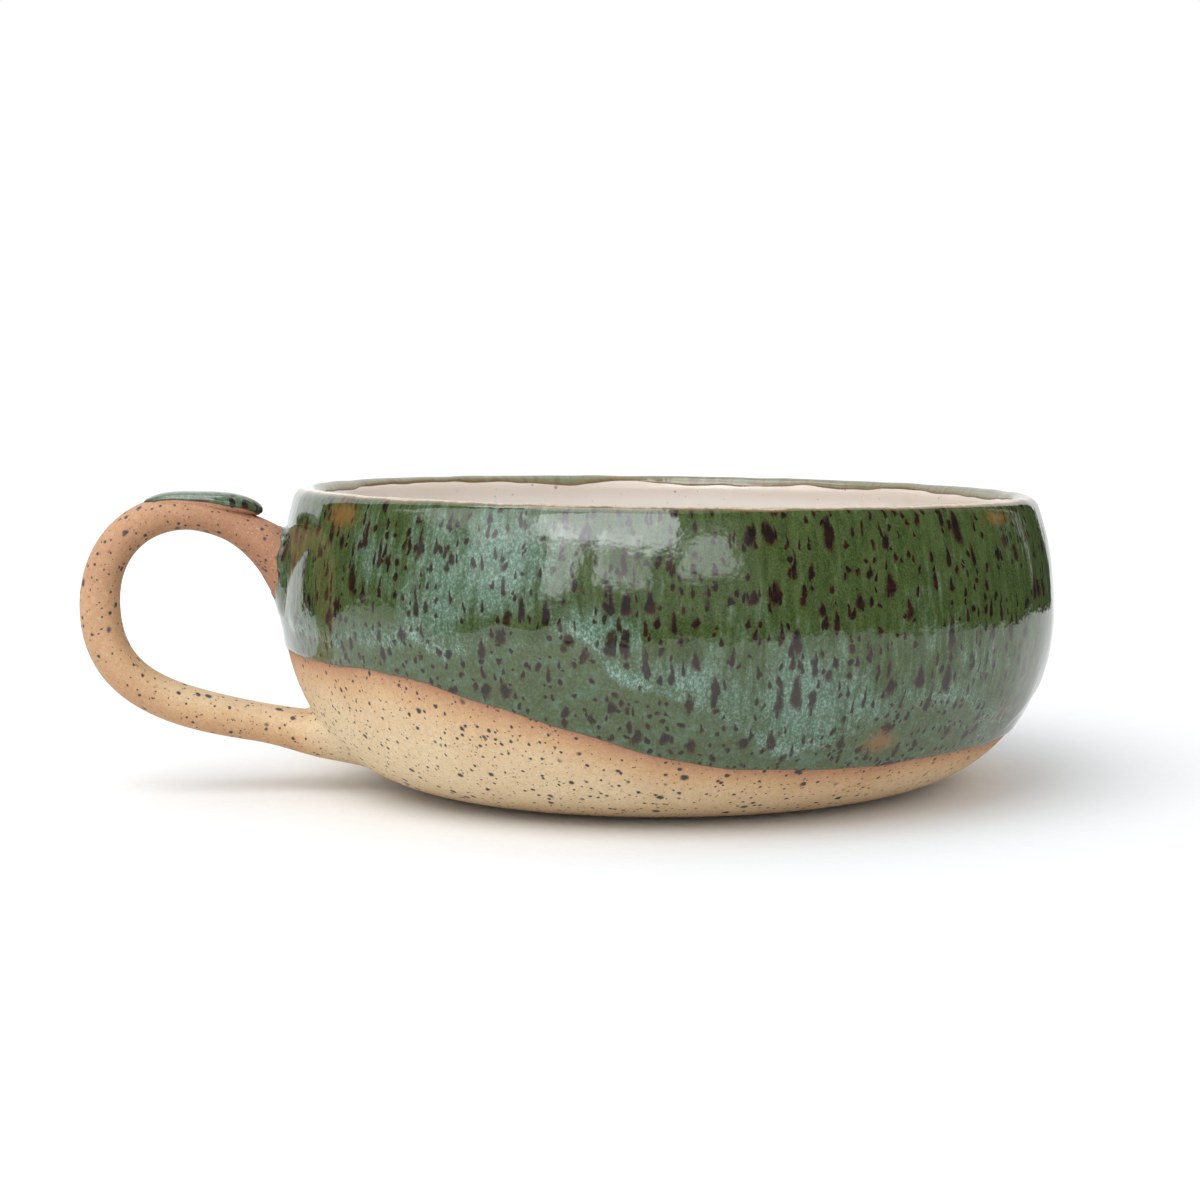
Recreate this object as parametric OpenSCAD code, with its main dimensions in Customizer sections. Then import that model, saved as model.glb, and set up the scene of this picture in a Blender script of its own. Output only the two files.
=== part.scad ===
// Soup mug: a wide thrown stoneware bowl with one pulled loop handle, dipped in two glazes.
// Millimetres, +Z up. The origin is on the bowl's axis, on the plane it stands on.
// The handle points along -X. Every joint between two clay pieces has its layer of slip.

/* [Bowl] */
// Clay diameter at the belly
belly_d = 141; // [125:0.5:165]
// Height of the belly above the base
belly_z = 32.5; // [27:0.5:38]
// Clay diameter across the outside of the rim
rim_d = 135; // [120:0.5:160]
// Height of the clay from the base to the crest of the rim
height = 53; // [48:0.5:70]
// Diameter of the flat base
foot_d = 72; // [56:1:84]
// Diameter of the flat floor inside
floor_d = 64; // [44:1:76]
// Wall thickness at the belly
wall_t = 4.8; // [3.6:0.1:6.5]
// Wall thickness at the rim, which is rolled round
rim_t = 4; // [2.8:0.1:5.2]
// Floor thickness
floor_t = 6; // [4:0.1:8]
// How far the lower wall bulges outwards, 2 being an ellipse
flank_fullness = 2.7; // [2:0.1:3.4]
// How low the lower wall stays before it turns up, 2 being an ellipse
heel_fullness = 1.9; // [1.6:0.1:2.4]

/* [Handle] */
// Distance from the bowl's widest level out to the centre of the loop's back
loop_out = 32.3; // [27:0.1:40]
// Height of the loop's back, its outermost point
loop_mid_z = 33; // [29:0.5:37]
// Distance from the bowl's widest level out to the crown, the top of the loop
crown_out = 17; // [14:0.5:20]
// Drop from the rim's crest to the centre of the loop at the crown
crown_drop = 3.8; // [2:0.1:7]
// Drop from the rim's crest to the middle of the upper root
upper_root_drop = 12.8; // [11:0.2:16]
// Slope of the loop where it leaves the upper root, in degrees
upper_root_slope = 60; // [45:1:65]
// Height of the middle of the lower root
lower_root_z = 9.8; // [9:0.2:14]
// Slope of the lower arm where it leaves the lower root, in degrees
lower_arm_slope = 12; // [6:1:18]
// Thickness of the loop at its crown
crown_t = 6; // [5:0.1:7.4]
// Thickness of the loop along the lower arm
arm_t = 7; // [5.8:0.1:8.2]
// Width of the loop from side to side
loop_w = 10; // [8:0.2:12.5]
// Thickness of the upper root where it is pressed on to the wall
upper_root_t = 10; // [8:0.2:12]
// Thickness of the lower root where it is pressed on to the wall
lower_root_t = 10; // [8:0.2:11]
// Width of both roots from side to side
root_w = 16; // [13:0.5:20]
// Length over which the loop flares into each root
flare_len = 16; // [10:0.5:20]
// How far the loop keeps its slope as it leaves the upper root
upper_pull = 5; // [3:0.5:7]
// How far the crown stays level towards the bowl
crown_pull = 6; // [4:0.5:9]
// How far the loop's back stays upright towards the heel
heel_pull = 18; // [12:0.5:22]
// How far the lower arm keeps its slope away from the lower root
arm_pull = 21; // [14:0.5:27]
// Depth of the loop's ends past the outside of the wall, where the wall's clay takes their place
root_depth = 8; // [6:0.5:9]

/* [Thumb rest] */
// Length of the thumb rest along the crown
pad_len = 18.8; // [15:0.1:21]
// Width of the thumb rest from side to side
pad_w = 10.6; // [8.6:0.2:13]
// Thickness of the thumb rest
pad_t = 3.4; // [2.8:0.1:4.2]
// Distance from the crown to the middle of the thumb rest, towards the bowl
pad_in = 3.4; // [1.5:0.1:4.2]
// How far the thumb rest stands above the crown
pad_proud = 0.3; // [0.1:0.1:1.2]
// Tilt of the thumb rest down towards the bowl, in degrees
pad_tilt = 2; // [0:0.5:5]

/* [Glaze and slip] */
// Thickness of the green coat
coat_t = 0.5; // [0.3:0.05:0.7]
// Thickness of the pale liner
liner_t = 0.4; // [0.3:0.05:0.7]
// Depth of the green band inside, below the crest of the rim
band_depth = 3.8; // [3.6:0.1:8]
// Height of the dip line beside the handle
dip_high_z = 25.5; // [18:0.5:30]
// Height of the dip line across from the handle
dip_low_z = 10.8; // [6:0.2:16]
// Distance from the bowl's axis to the middle of the dip line's slope, towards the handle
dip_mid = 28; // [5:1:40]
// Length of the dip line's slope
dip_run = 70; // [40:1:90]
// Thickness of the slip under the handle's roots
slip_t = 0.8; // [0.5:0.1:1.2]
// Thickness of the slip under the thumb rest
pad_slip_t = 0.3; // [0.2:0.05:0.5]

/* [Hidden] */

clay_colour = [0.82, 0.67, 0.48];
slip_colour = [0.72, 0.52, 0.36];
green_colour = [0.36, 0.41, 0.33];
liner_colour = [0.90, 0.84, 0.79];

// Steps along each stretch of a curve, and sides round the bowl, the loop and the thumb rest
wall_steps = 16;
shoulder_steps = 8;
rim_steps = 8;
band_steps = 3;
dip_steps = 12;
upper_steps = 10;
back_steps = 12;
lower_steps = 20;
round_sides = 96;
loop_sides = 16;
pad_sides = 24;
pad_levels = 10;

belly = [belly_d / 2, belly_z];
inner_belly = [belly_d / 2 - wall_t, belly_z];
// Radius at the bowl's widest level, the belly or the rim, which the loop stands clear of
widest_r = max(belly_d, rim_d) / 2;
rim_centre = [rim_d / 2 - rim_t / 2, height - rim_t / 2];
// The lean of the wall into the rim, which the rolled rim carries on
rim_lean = atan(2 * (belly.x - rim_d / 2) / (rim_centre.y - belly.y));
rim_side = rim_t / 2 * [cos(rim_lean), sin(rim_lean)];
rim_outer = rim_centre + rim_side;
rim_inner = rim_centre - rim_side;
// Where the green band ends, as a share of the inner wall's height from belly to rim
band_share = (height - band_depth - belly.y) / (rim_inner.y - belly.y);

function tail(list) = [for (i = [1:len(list) - 1]) list[i]];
function flip(list) = [for (i = [len(list) - 1:-1:0]) list[i]];

// Quarter of a superellipse in [radius, height], from the flat of the base to the belly
function lower_wall(start, end) = [
    for (i = [0:wall_steps])
        let (a = 90 * i / wall_steps)
        [
            start.x + (end.x - start.x) * pow(sin(a), 2 / flank_fullness),
            start.y + (end.y - start.y) * (1 - pow(cos(a), 2 / heel_fullness))
        ]
];

// Stretch of a parabola that stands upright at the belly and leans in at the rim
function upper_wall(start, end, from, to, steps) = [
    for (i = [0:steps])
        let (t = from + (to - from) * i / steps)
        [start.x + (end.x - start.x) * t * t, start.y + (end.y - start.y) * t]
];

// The clay's surface in [radius, height]: up the outside, over the rim and down to the floor's middle
outside = concat(
    lower_wall([foot_d / 2, 0], belly),
    tail(upper_wall(belly, rim_outer, 0, 1, shoulder_steps))
);
rim_roll = [
    for (i = [1:rim_steps - 1])
        let (a = rim_lean + 180 * i / rim_steps)
        rim_centre + rim_t / 2 * [cos(a), sin(a)]
];
rim_band = upper_wall(inner_belly, rim_inner, 1, band_share, band_steps);
inside = concat(
    tail(upper_wall(inner_belly, rim_inner, band_share, 0, shoulder_steps)),
    tail(flip(lower_wall([floor_d / 2, floor_t], inner_belly))),
    [[0, floor_t]]
);
surface = concat(outside, rim_roll, rim_band, inside);
outside_end = len(outside) - 1;
band_end = len(surface) - len(inside) - 1;
surface_end = len(surface) - 1;

// Unit vector out of the clay at a point of its surface
function facing(i) =
    let (run = surface[min(i + 1, surface_end)] - surface[max(i - 1, 0)])
    [run.y, -run.x] / norm(run);

// Points of the surface from one to another, raised off the clay
function raised(from, to, by) = [for (i = [from:to]) surface[i] + by * facing(i)];

// Radius of the clay's outside at a height
function wall_r(z) = lookup(z, [for (p = outside) [p.y, p.x]]);

// Loop in the XZ plane: three cubic curves, from the upper root over the crown and back to the lower root
// Pull that makes a cubic curve follow a quarter of a round
round_pull = 0.58;
// How far the loop's buried ends narrow
end_narrowing = 0.45;

upper_root = [-wall_r(height - upper_root_drop), height - upper_root_drop];
lower_root = [-wall_r(lower_root_z), lower_root_z];
crown = [-widest_r - crown_out, height - crown_drop];
back = [-widest_r - loop_out, loop_mid_z];
upper_way = [-cos(upper_root_slope), sin(upper_root_slope)];
lower_way = [-cos(lower_arm_slope), sin(lower_arm_slope)];

upper_curve = [upper_root, upper_root + upper_pull * upper_way, crown + [crown_pull, 0], crown];
back_curve = [
    crown,
    crown + [round_pull * (back.x - crown.x), 0],
    back + [0, round_pull * (crown.y - back.y)],
    back
];
lower_curve = [back, back - [0, heel_pull], lower_root + arm_pull * lower_way, lower_root];

function bezier(p, t) =
    pow(1 - t, 3) * p[0] + 3 * pow(1 - t, 2) * t * p[1] + 3 * (1 - t) * t * t * p[2] + pow(t, 3) * p[3];

// How much of a root's flare is reached at a point of the loop, from 0 to 1
function flare(p, root) = pow(max(0, 1 - norm(p - root) / flare_len), 2);

// Section of the loop at a point: [point, thickness, width]
function section(p, root, loop_t, root_t) =
    let (f = flare(p, root))
    [p, loop_t + (root_t - loop_t) * f, loop_w + (root_w - loop_w) * f];

// The buried end of a root, from its deepest section to the wall
function buried(root, way, root_t) = [
    [root - root_depth * way, root_t * end_narrowing, root_w * end_narrowing],
    [root - root_depth / 2 * way, root_t, root_w]
];

sections = concat(
    buried(upper_root, upper_way, upper_root_t),
    [
        for (i = [0:upper_steps - 1])
            section(bezier(upper_curve, i / upper_steps), upper_root, crown_t, upper_root_t)
    ],
    [
        for (i = [0:back_steps - 1])
            let (t = i / back_steps)
            [bezier(back_curve, t), crown_t + (arm_t - crown_t) * t, loop_w]
    ],
    [
        for (i = [0:lower_steps])
            section(bezier(lower_curve, i / lower_steps), lower_root, arm_t, lower_root_t)
    ],
    flip(buried(lower_root, lower_way, lower_root_t))
);
last_section = len(sections) - 1;
// Sections at each end of the loop that take in its whole joint with the wall
root_sections = 8;

// Oval ring of points square to the loop at one of its sections
function ring(i) =
    let (
        run = sections[min(i + 1, last_section)][0] - sections[max(i - 1, 0)][0],
        across = [-run.y, run.x] / norm(run),
        p = sections[i][0],
        half_t = sections[i][1] / 2,
        half_w = sections[i][2] / 2
    )
    [
        for (k = [0:loop_sides - 1])
            let (a = 360 * k / loop_sides, q = p + half_t * cos(a) * across)
            [q.x, half_w * sin(a), q.y]
    ];

// Closed solid through rings of equally many points
module skin(rings, sides) {
    last = len(rings) - 1;
    sheet = [
        for (i = [0:last - 1], k = [0:sides - 1])
            let (a = i * sides + k, b = i * sides + (k + 1) % sides)
            each [[a, b, a + sides], [b, b + sides, a + sides]]
    ];
    first_cap = [for (k = [sides - 1:-1:0]) k];
    last_cap = [for (k = [0:sides - 1]) last * sides + k];
    polyhedron([for (r = rings) each r], concat(sheet, [first_cap, last_cap]), convexity = 6);
}

module loop(from = 0, to = last_section) {
    skin([for (i = [from:to]) ring(i)], loop_sides);
}

// Everything inside the bowl's outer wall, raised off the clay
module wall_block(by) {
    rotate_extrude($fn = round_sides)
        polygon(concat([[0, -by]], raised(0, outside_end, by), [[0, height + by]]));
}

// Layer on the clay's surface between two of its points
module layer(from, to, by) {
    rotate_extrude($fn = round_sides)
        polygon(concat(flip(raised(from, to, 0)), raised(from, to, by)));
}

// Slip between the wall and a stretch of the loop
module root_slip(from, to) {
    color(slip_colour)
        intersection() {
            loop(from, to);
            layer(0, outside_end, slip_t);
        }
}

// Everything below the slanting line that the bowl was dipped to
module below_dip_line() {
    reach = belly_d;
    line = [
        for (i = [0:dip_steps])
            let (t = i / dip_steps)
            [
                dip_run * (t - 0.5) - dip_mid,
                dip_low_z + (dip_high_z - dip_low_z) * (1 + cos(180 * t)) / 2
            ]
    ];
    rotate([90, 0, 0])
        linear_extrude(height = 2 * reach, center = true)
            polygon(concat(
                [[-reach, -reach], [-reach, dip_high_z]],
                line,
                [[reach, dip_low_z], [reach, -reach]]
            ));
}

// Flattened pebble of clay on the crown, grown evenly: a superellipsoid
pad_fullness = 2.6;
pad_middle = [crown.x + pad_in, 0, crown.y + crown_t / 2 + pad_proud - pad_t / 2];
function bent(v) = sign(v) * pow(abs(v), 2 / pad_fullness);

module pebble(grown) {
    half = [pad_len, pad_w, pad_t] / 2 + [grown, grown, grown];
    // The end levels are flat, just short of the poles
    rings = [
        for (i = [1:pad_levels - 1])
            let (level = 180 * i / pad_levels - 90)
            [
                for (k = [0:pad_sides - 1])
                    let (a = 360 * k / pad_sides)
                    [
                        half.x * bent(cos(level)) * bent(cos(a)),
                        half.y * bent(cos(level)) * bent(sin(a)),
                        half.z * bent(sin(level))
                    ]
            ]
    ];
    translate(pad_middle)
        rotate([0, pad_tilt, 0])
            skin(flip(rings), pad_sides);
}

module bowl() {
    color(clay_colour)
        rotate_extrude($fn = round_sides)
            polygon(concat([[0, 0]], surface));
}

module handle() {
    color(clay_colour)
        difference() {
            loop();
            wall_block(slip_t);
            pebble(pad_slip_t);
        }
}

module thumb_rest() {
    color(clay_colour) pebble(0);
}

module upper_joint_slip() {
    root_slip(0, root_sections);
}

module lower_joint_slip() {
    root_slip(last_section - root_sections, last_section);
}

module thumb_rest_slip() {
    color(slip_colour)
        intersection() {
            difference() {
                pebble(pad_slip_t);
                pebble(0);
            }
            loop();
        }
}

module outer_glaze() {
    color(green_colour)
        difference() {
            layer(0, band_end, coat_t);
            below_dip_line();
            loop(0, root_sections);
        }
}

module inner_glaze() {
    color(liner_colour) layer(band_end, surface_end, liner_t);
}

module thumb_rest_glaze() {
    // The dab covers the upper half of the thumb rest
    color(green_colour)
        difference() {
            pebble(coat_t);
            pebble(0);
            loop();
            translate(pad_middle)
                rotate([0, pad_tilt, 0])
                    translate([-pad_len, -pad_w, -pad_t])
                        cube([2 * pad_len, 2 * pad_w, pad_t]);
        }
}

bowl();
handle();
thumb_rest();
upper_joint_slip();
lower_joint_slip();
thumb_rest_slip();
outer_glaze();
inner_glaze();
thumb_rest_glaze();
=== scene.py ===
"""Soup mug: a low wide stoneware bowl with one pulled loop handle, dipped in a running green glaze."""

import math

import bpy
import numpy as np
from bpy.props import FloatProperty, FloatVectorProperty, PointerProperty
from mathutils import Matrix, Vector


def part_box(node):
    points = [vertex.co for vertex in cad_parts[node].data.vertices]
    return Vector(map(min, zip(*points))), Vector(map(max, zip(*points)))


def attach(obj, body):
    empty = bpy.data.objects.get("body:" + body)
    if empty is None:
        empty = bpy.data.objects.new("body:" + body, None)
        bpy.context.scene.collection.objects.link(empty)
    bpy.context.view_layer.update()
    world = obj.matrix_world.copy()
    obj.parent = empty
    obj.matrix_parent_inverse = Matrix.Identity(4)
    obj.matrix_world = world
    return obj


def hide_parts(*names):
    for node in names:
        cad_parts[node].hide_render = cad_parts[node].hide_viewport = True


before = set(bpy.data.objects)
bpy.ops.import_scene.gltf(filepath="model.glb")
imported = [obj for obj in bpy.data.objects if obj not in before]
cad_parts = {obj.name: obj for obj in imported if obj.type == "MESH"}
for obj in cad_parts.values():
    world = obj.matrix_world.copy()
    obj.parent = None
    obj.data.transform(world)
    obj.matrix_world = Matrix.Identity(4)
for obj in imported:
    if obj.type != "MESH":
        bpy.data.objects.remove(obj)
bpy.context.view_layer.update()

bl_info = {
    "name": "Soup mug",
    "version": (1, 0, 0),
    "blender": (4, 5, 0),
    "location": "View3D > Sidebar > Soup mug",
    "description": "Makes a glazed stoneware soup mug around its solid model",
    "category": "Add Mesh",
}

# Sizes read from the solid model
BOWL_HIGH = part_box("bowl")[1]
LOOP_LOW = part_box("handle")[0]
PAD_LOW, PAD_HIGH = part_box("thumb_rest")
PER_MM = 1000.0
TURN = 2 * math.pi
# Radius in millimetres at which the glaze's patterns are laid out
FLOW_RADIUS = 70.0

# Ends of the glaze's runs: angle round the axis in degrees, distance above the dip line in millimetres,
# and how pale the glaze has piled up there
RUN_LOBES = (
    (-170, 5, 0.6), (-152, 4.0, 0.4), (-146, 5.0, 0.9), (-139, 6.0, 1.0), (-131, 6.5, 0.7),
    (-122, 12.5, 0.1), (-117, 14.2, 0.1), (-114.5, 16, 0.6), (-113, 17, 1.0), (-110.8, 15.2, 1.0),
    (-109, 13, 1.0), (-106.5, 12.2, 0.9), (-102, 11.8, 0.8), (-97, 11.8, 0.5), (-94, 10, 0.5),
    (-91, 7.2, 0.6), (-88, 4.8, 0.9), (-84, 4.2, 1.0), (-79, 5.2, 0.6), (-74, 8, 0.3),
    (-70, 11.5, 0.3), (-64, 13, 0.5), (-57, 11.8, 0.6), (-48, 7, 0.3), (-36, 3.5, 0.3),
    (-24, 9, 0.8), (-8, 14, 0.4), (6, 8, 1.0), (14, 5, 0.5), (27, 12, 0.2), (44, 15, 0.7),
    (55, 7, 1.0), (66, 10, 0.5), (83, 16, 0.2), (94, 9, 0.8), (103, 5, 0.9), (117, 12, 0.4),
    (133, 15, 0.3), (146, 8, 0.9), (158, 4.5, 0.7),
)

# Milky clouds in the glaze: angle, height, half width and half height in millimetres, weight
CLOUDS = (
    (-126, 44.5, 13, 8, 1.0), (-146, 44, 6, 7, 0.7), (-133, 35, 8, 5, 0.75), (-110, 34, 6, 4, 0.9),
    (-84, 24, 12, 8, 1.0), (-101, 27, 8, 4, 0.8), (-55, 28, 10, 6, 0.33), (-66, 22, 9, 3, 0.5),
    (-20, 38, 12, 9, 0.9), (4, 25, 9, 7, 0.9), (30, 44, 10, 7, 0.8), (48, 28, 12, 6, 1.0),
    (72, 42, 8, 8, 0.7), (92, 27, 11, 6, 0.9), (112, 43, 12, 7, 0.9), (128, 30, 8, 6, 0.8),
    (152, 40, 8, 8, 0.8), (172, 36, 7, 6, 0.6),
)

# Places where the glaze lies thin and breaks to rust, given in the same way
THIN_SPOTS = (
    (-154, 50.2, 5.0, 2.6, 1.0), (-70, 15.2, 4.0, 2.2, 1.0), (-47, 51.0, 5.5, 1.6, 0.8),
    (60, 50.6, 4.5, 2.2, 0.9), (118, 17.5, 3.6, 2.2, 0.9), (10, 14, 3.6, 1.8, 0.8),
    (-43, 17.5, 5, 2.4, 0.5),
)

# Layers of dark drips: shift of the pattern, spacing across and up in millimetres, share of the cells
# that hold a drip and its rise where the coat is thin, half width and height in millimetres, strength
DRIP_LAYERS = (
    ((0.0, 0.0, 0.0), 3.3, 8.0, 0.50, 0.26, 1.25, 4.2, 1.0),
    ((7.0, 23.3, 0.0), 1.9, 5.4, 0.34, 0.20, 0.60, 3.2, 1.0),
    ((-3.0, -41.7, 0.0), 1.7, 2.4, 0.34, 0.20, 0.64, 1.5, 0.95),
)

# Length of the green band inside the rim: angle in degrees, and length from the crest in millimetres
INSIDE_BAND = (
    (-160, 2.4), (-128, 1.8), (-100, 2.3), (-70, 1.7), (-40, 2.5), (-15, 1.8), (8, 2.6), (28, 1.9),
    (44, 2.5), (52, 1.9), (60, 2.6), (74, 2.5), (82, 1.8), (90, 1.8), (95, 2.6), (103, 2.6),
    (112, 1.8), (135, 1.7), (150, 2.3),
)

# Windows in the dark room: degrees from the front, lowest and highest level in metres, brightness
WINDOWS = (
    (-58, -37, 0.095, 0.24, 1.3), (-35, -25, 0.085, 0.26, 4.4), (-23, -5.5, 0.10, 0.26, 2.8),
    (-23, -16, 0.10, 0.26, 2.0), (-22, -6, 0.10, 0.15, 2.0), (1.5, 17, 0.125, 0.24, 3.6),
    (-40, 3, 0.19, 1.70, 7.2), (-86, -37, 0.19, 1.70, 2.4), (3, 14, 0.19, 0.26, 2.0),
    (-75, 24, 0.03, 0.40, 0.45), (120, 125, 0.02, 0.60, 0.8), (109, 113, 0.06, 0.50, 0.35),
)

# Bright panels round the stage: name, brightness, corners in metres as the camera sees them
PANELS = (
    (
        "panel_above",
        4.5,
        ((-0.62, -0.40, 1.0), (-0.62, 0.45, 1.0), (0.02, 0.45, 1.0), (0.02, -0.40, 1.0)),
    ),
    (
        "panel_left",
        1.3,
        ((-0.60, 0.10, 0.0), (-0.10, 0.60, 0.0), (-0.10, 0.60, 0.9), (-0.60, 0.10, 0.9)),
    ),
)


def length(name, millimetres, description):
    """A property that holds a length, given here in millimetres."""
    return FloatProperty(
        name=name, description=description, default=millimetres / PER_MM, precision=5, unit="LENGTH"
    )


def number(name, value, description):
    """A property that holds a plain number."""
    return FloatProperty(name=name, description=description, default=value, precision=4)


def angle(name, degrees, description):
    """A property that holds an angle, given here in degrees."""
    return FloatProperty(
        name=name, description=description, default=math.radians(degrees), subtype="ANGLE"
    )


def colour(name, red, green, blue, description):
    """A property that holds a colour, given here as screen values from 0 to 255."""
    screen = np.array([red, green, blue]) / 255
    linear = np.where(screen <= 0.04045, screen / 12.92, ((screen + 0.055) / 1.055) ** 2.4)
    return FloatVectorProperty(
        name=name, description=description, default=tuple(linear), subtype="COLOR", min=0, max=1
    )


class BowlSizes(bpy.types.PropertyGroup):
    """Sizes of the thrown bowl."""

    belly_radius: length("Belly radius", BOWL_HIGH.x * PER_MM, "Clay radius at the belly")
    belly_height: length("Belly height", 32.5, "Height of the belly above the base")
    rim_radius: length("Rim radius", 67.5, "Clay radius across the outside of the rim")
    height: length("Height", BOWL_HIGH.z * PER_MM, "Height of the rim's crest")
    foot_radius: length("Foot radius", 36, "Radius of the flat base")
    floor_radius: length("Floor radius", 32, "Radius of the flat floor inside")
    wall: length("Wall", 4.8, "Wall thickness at the belly")
    rim_wall: length("Rim thickness", 4, "Thickness of the rolled rim")
    floor: length("Floor", 6, "Thickness of the floor")
    flank: number("Flank fullness", 2.7, "How far the lower wall bulges outwards")
    heel: number("Heel fullness", 1.9, "How low the lower wall stays before it turns up")
    lean: number("Lean", 0.355, "Rise of the rim towards the handle, a share of its height per metre")
    lean_turn: angle("Lean turn", 10, "Turn of the line along which the rim rises")
    wobble: length("Wobble", 0.16, "Unevenness of the wall left by the potter's hands")
    ring_depth: length("Turning marks", 0.12, "Depth of the turning marks on the base")
    ring_step: length("Turning mark spacing", 3.1, "Distance between the turning marks on the base")


class HandleSizes(bpy.types.PropertyGroup):
    """Sizes of the pulled loop."""

    reach: length("Reach", -LOOP_LOW.x * PER_MM, "Distance from the bowl's axis to the loop's outside")
    back_height: length("Back height", 33, "Height of the loop's outermost point")
    crown_reach: length("Crown reach", 87.5, "Distance from the bowl's axis to the crown")
    crown_height: length("Crown height", 49.2, "Height of the loop's centre at the crown")
    upper_root: length("Upper root", 40.2, "Height of the middle of the upper root")
    upper_slope: angle("Upper slope", 60, "Slope of the loop where it leaves the upper root")
    lower_root: length("Lower root", 9.8, "Height of the middle of the lower root")
    lower_slope: angle("Lower slope", 12, "Slope of the arm where it leaves the lower root")
    crown_thick: length("Crown thickness", 6, "Thickness of the loop at its crown")
    arm_thick: length("Arm thickness", 7, "Thickness of the loop along the lower arm")
    width: length("Width", 10, "Width of the loop from side to side")
    root_thick: length("Root thickness", 8.8, "Thickness of the loop at its roots")
    root_width: length("Root width", 16, "Width of the loop at its roots")
    flare: length("Flare", 12.8, "Length over which the loop flares into a root")
    upper_pull: length("Upper pull", 5, "How far the loop keeps its slope from the upper root")
    crown_pull: length("Crown pull", 6, "How far the crown stays level towards the bowl")
    heel_pull: length("Heel pull", 18, "How far the loop's back stays upright")
    arm_pull: length("Arm pull", 21, "How far the lower arm keeps its slope")
    upper_fillet: length("Upper fillet", 2.8, "Radius of the fillet beside the upper root")
    inner_fillet: length("Inner fillet", 1.4, "What the upper fillet gains inside the loop")
    side_fillet: length("Side fillet", 4.2, "Radius of the fillet beside the lower root")
    top_fillet: length("Top fillet", 1.2, "Radius of the fillet on top of the lower root")
    under_fillet: length("Under fillet", 3, "Radius of the fillet under the lower root")
    sink: length("Sink", 0.5, "Depth of the loop's ends in the wall")


class GlazeSizes(bpy.types.PropertyGroup):
    """Sizes of the glaze coats and of the slip in the joints."""

    coat: length("Green coat", 0.34, "Thickness of the green coat at the dip line")
    run_coat: length("Run coat", 0.34, "Thickness that the running second coat adds")
    liner: length("Liner", 0.3, "Thickness of the pale liner")
    band: length("Inside band", 2.1, "Usual length of the green band inside, from the crest of the rim")
    dip_high: length("High dip line", 25.5, "Height of the dip line beside the handle")
    dip_low: length("Low dip line", 10.8, "Height of the dip line across from the handle")
    dip_middle: length("Dip middle", -28, "Place of the middle of the dip line's slope along X")
    dip_slope: length("Dip slope", 70, "Length of the dip line's slope")
    edge_round: length("Edge round", 0.9, "Distance over which the coat thins at its edges")
    collar: length("Collar", 1.8, "How far the green coat climbs the upper root")
    slip: length("Slip", 0.8, "Thickness of the slip in the joints")
    sink: length("Sink", 0.25, "Depth of a coat's underside in the clay")


class Colours(bpy.types.PropertyGroup):
    """Colours of the clay and the glazes."""

    buff: colour("Buff clay", 226, 207, 171, "Bare stoneware")
    golden: colour("Golden clay", 205, 168, 125, "Bare stoneware toasted by the fire")
    terracotta: colour("Flushed clay", 167, 117, 86, "Bare stoneware flushed next to the glaze")
    iron: colour("Iron specks", 42, 43, 54, "Iron specks in the clay")
    olive: colour("Olive glaze", 48, 62, 27, "Thick green glaze")
    moss: colour("Moss glaze", 74, 88, 46, "Green glaze where it is lighter")
    teal: colour("Teal clouds", 92, 120, 106, "Milky clouds in the green glaze")
    frost: colour("Frost dots", 168, 198, 186, "Crystals in the clouds")
    sage: colour("Sage glaze", 67, 78, 48, "Thin green glaze near the dip line")
    drip: colour("Dark drips", 27, 19, 22, "Iron drips in the green glaze")
    russet: colour("Brown drips", 50, 24, 16, "Iron drips where they have burnt brown")
    umber: colour("Drip halo", 62, 46, 34, "Brown glaze round the drips")
    rust: colour("Rust breaks", 136, 96, 54, "Brown breaks where the green glaze is thin")
    straw: colour("Straw crest", 190, 174, 142, "Crest of the rim, where the glaze has run off")
    cream: colour("Cream liner", 224, 218, 212, "Pale glaze inside")
    blush: colour("Blush liner", 208, 194, 181, "Pale glaze where it is thin")


class StageSettings(bpy.types.PropertyGroup):
    """Camera and studio."""

    camera_place: FloatVectorProperty(
        name="Camera place",
        description="Where the camera stands",
        default=(-0.0860, -0.4179, 0.0719),
        subtype="TRANSLATION",
        unit="LENGTH",
    )
    azimuth: angle("Azimuth", 10, "Turn of the camera away from looking along Y")
    pitch: angle("Pitch", 5.2, "How far the camera looks down")
    roll: angle("Roll", -0.4, "Roll of the camera about its line of sight")
    lens: FloatProperty(name="Lens", description="Focal length", default=69, unit="CAMERA")
    daylight: number("Daylight", 1.0, "Brightness of the white surround")
    softbox: number("Softbox", 6.0, "Power of the large soft light above")


SETTINGS = {
    "soup_mug_bowl": BowlSizes,
    "soup_mug_handle": HandleSizes,
    "soup_mug_glaze": GlazeSizes,
    "soup_mug_colours": Colours,
    "soup_mug_stage": StageSettings,
}


# Shapes

def full_turn(count):
    """Angles spread evenly round an axis."""
    return np.arange(count) * TURN / count


def run_along(points):
    """Length run along a line of points, or along each column of a grid, from its first row."""
    steps = np.linalg.norm(np.diff(points, axis=0), axis=-1)
    return np.concatenate([0 * steps[:1], np.cumsum(steps, axis=0)])


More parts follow.
